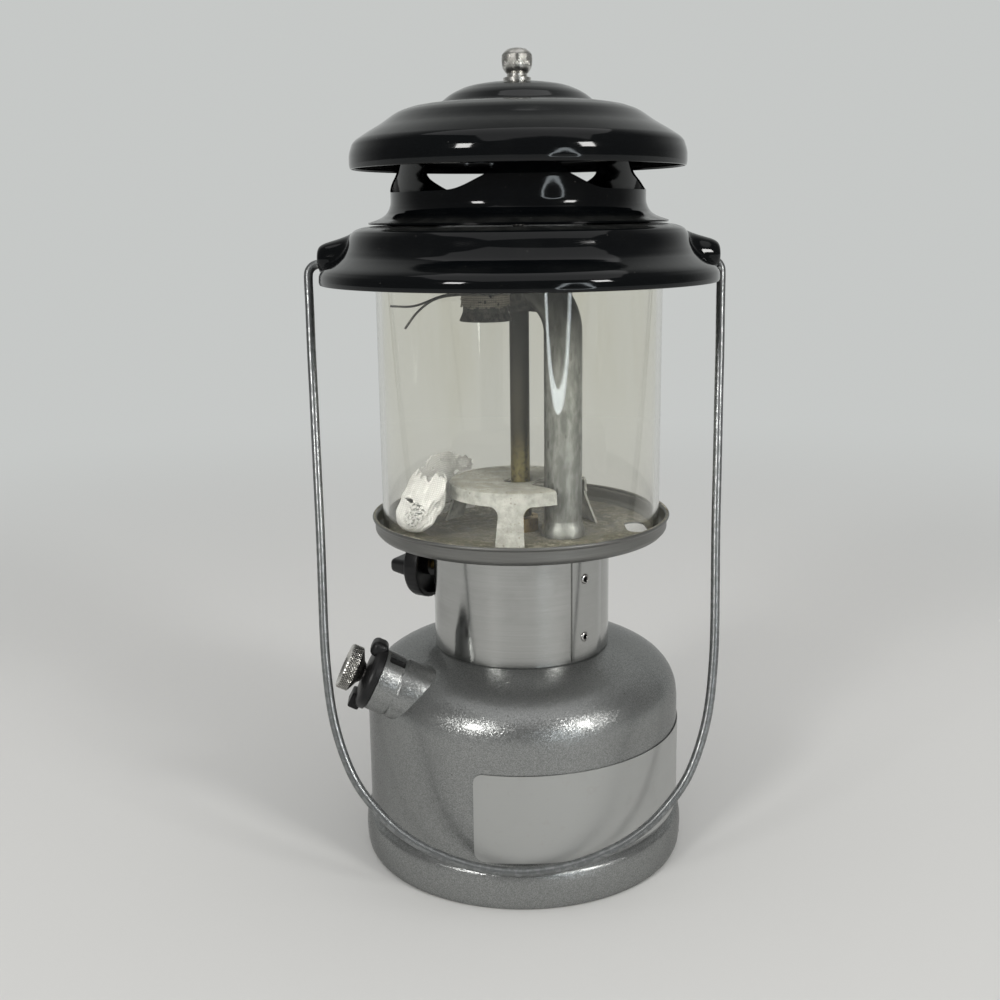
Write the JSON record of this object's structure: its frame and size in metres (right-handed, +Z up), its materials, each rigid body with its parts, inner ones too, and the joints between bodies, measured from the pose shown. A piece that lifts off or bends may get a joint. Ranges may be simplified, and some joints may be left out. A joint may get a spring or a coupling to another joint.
{
  "type": "dual fuel lantern",
  "caption": "Pressurised camping lantern with a pumped fuel tank, glass globe over twin mantle burners, enamelled vented hood and swinging wire bail.",
  "frame": {"origin": "centre of the tank's foot ring, on the surface the lantern stands on", "axes": "+Z up along the lantern's axis, +X along the bail's hinge line to the right, -Y towards the side that the plate and the hanging bail face"},
  "size_m": [0.181, 0.1722, 0.3549],
  "materials": {
    "tank_paint": "silver metallic-flake enamel, satin",
    "plate_foil": "matt silver foil with a dark border, bare",
    "bare_steel": "bare stainless, fine brushed",
    "tray_steel": "dull grey, sooty and rust-specked inside",
    "bail_steel": "galvanised wire",
    "black_enamel": "black porcelain enamel, high gloss",
    "brass": "machined",
    "heat_tinted_brass": "dark heat tint",
    "aluminium": "dull, stained",
    "plated_brass": "nickel plate, knurled",
    "black_plastic": "fine grain",
    "rubber": "matt",
    "ash_white": "chalky heat-bleached coating",
    "burnt_mantle": "burnt white knit, brittle",
    "globe_glass": "clear, lightly sooted"
  },
  "bodies": {
    "base": {"tank_shell": "tank_paint", "tank_base": "tank_paint", "tank_plate": "plate_foil", "pump_housing": "tank_paint", "pump_barrel": "brass", "pump_cap": "black_plastic", "check_valve": "brass", "filler_neck": "tank_paint", "collar_band": "bare_steel", "collar_rivet_upper": "bare_steel", "collar_rivet_lower": "bare_steel", "valve_body": "brass", "packing_nut": "brass", "fuel_pickup_tube": "brass", "tray": "tray_steel", "generator_jam_nut": "brass", "heat_shield": "ash_white", "air_tube": "aluminium", "generator_tube": "heat_tinted_brass", "gas_tip": "brass", "burner_manifold": "aluminium", "burner_cap_near": "bare_steel", "burner_cap_far": "bare_steel", "burner_screens_near": "bare_steel", "burner_screens_far": "bare_steel", "mantle_remnant_near": "burnt_mantle", "mantle_remnant_far": "burnt_mantle", "mantle_clip": "heat_tinted_brass", "mantle_scrap_front": "burnt_mantle", "mantle_scrap_back": "burnt_mantle", "top_stud": "bare_steel"},
    "hood": {"hood_skirt": "black_enamel", "hood_neck": "black_enamel", "canopy": "black_enamel", "inner_baffle": "black_enamel"},
    "nut": {"ball_nut": "plated_brass"},
    "bail": {"bail": "bail_steel"},
    "globe": {"globe": "globe_glass"},
    "spindle": {"valve_stem": "brass", "control_knob": "black_plastic", "knob_screw": "bare_steel"},
    "needle": {"cleaning_needle": "bare_steel"},
    "stem": {"air_stem": "bare_steel"},
    "plunger": {"pump_rod": "bare_steel", "pump_knob": "plated_brass", "pump_cup": "rubber", "cup_nut": "bare_steel"},
    "gasket": {"filler_gasket": "rubber"},
    "cap": {"filler_cap": "black_plastic"}
  },
  "joints": [
    {"name": "hood_lift", "type": "slide", "parent": "base", "child": "hood", "axis": [0, 0, 1], "range_m": [0, 0.26]},
    {"name": "globe_lift", "type": "slide", "parent": "base", "child": "globe", "axis": [0, 0, 1], "range_m": [0, 0.208]},
    {"name": "ball_nut_turn", "type": "hinge", "parent": "hood", "child": "nut", "pos_m": [0, 0, 0.3413], "axis": [0, 0, 1], "range_deg": [0, 1080]},
    {"name": "bail_swing", "type": "hinge", "parent": "hood", "child": "bail", "pos_m": [0, 0, 0.2673], "axis": [-1, 0, 0], "range_deg": [0, 326]},
    {"name": "valve_knob_turn", "type": "hinge", "parent": "base", "child": "spindle", "pos_m": [0, 0, 0.126], "axis": [-0.8763, 0.4818, 0], "range_deg": [0, 270]},
    {"name": "needle_lift", "type": "slide", "parent": "base", "child": "needle", "axis": [0, 0, 1], "range_m": [0, 0.0031]},
    {"name": "pump_knob_turn", "type": "hinge", "parent": "base", "child": "stem", "pos_m": [-0.0645, -0.035, 0.0908], "axis": [-0.8976, -0.047, 0.4384], "range_deg": [0, 360]},
    {"name": "pump_stroke", "type": "slide", "parent": "stem", "child": "plunger", "axis": [-0.8976, -0.047, 0.4384], "range_m": [0, 0.07]},
    {"name": "filler_cap_lift", "type": "slide", "parent": "base", "child": "gasket", "axis": [0.2192, 0.3796, 0.8988], "range_m": [0, 0.0051]},
    {"name": "filler_cap_turn", "type": "hinge", "parent": "gasket", "child": "cap", "pos_m": [0.028, 0.0485, 0.09171], "axis": [0.2192, 0.3796, 0.8988], "range_deg": [0, 900]}
  ],
  "couplings": [
    {"joint": "globe_lift", "follows": "hood_lift", "ratio": 0.79},
    {"joint": "needle_lift", "follows": "valve_knob_turn", "m_per_rad": 0.000637},
    {"joint": "filler_cap_lift", "follows": "filler_cap_turn", "m_per_rad": 0.00031831}
  ]
}
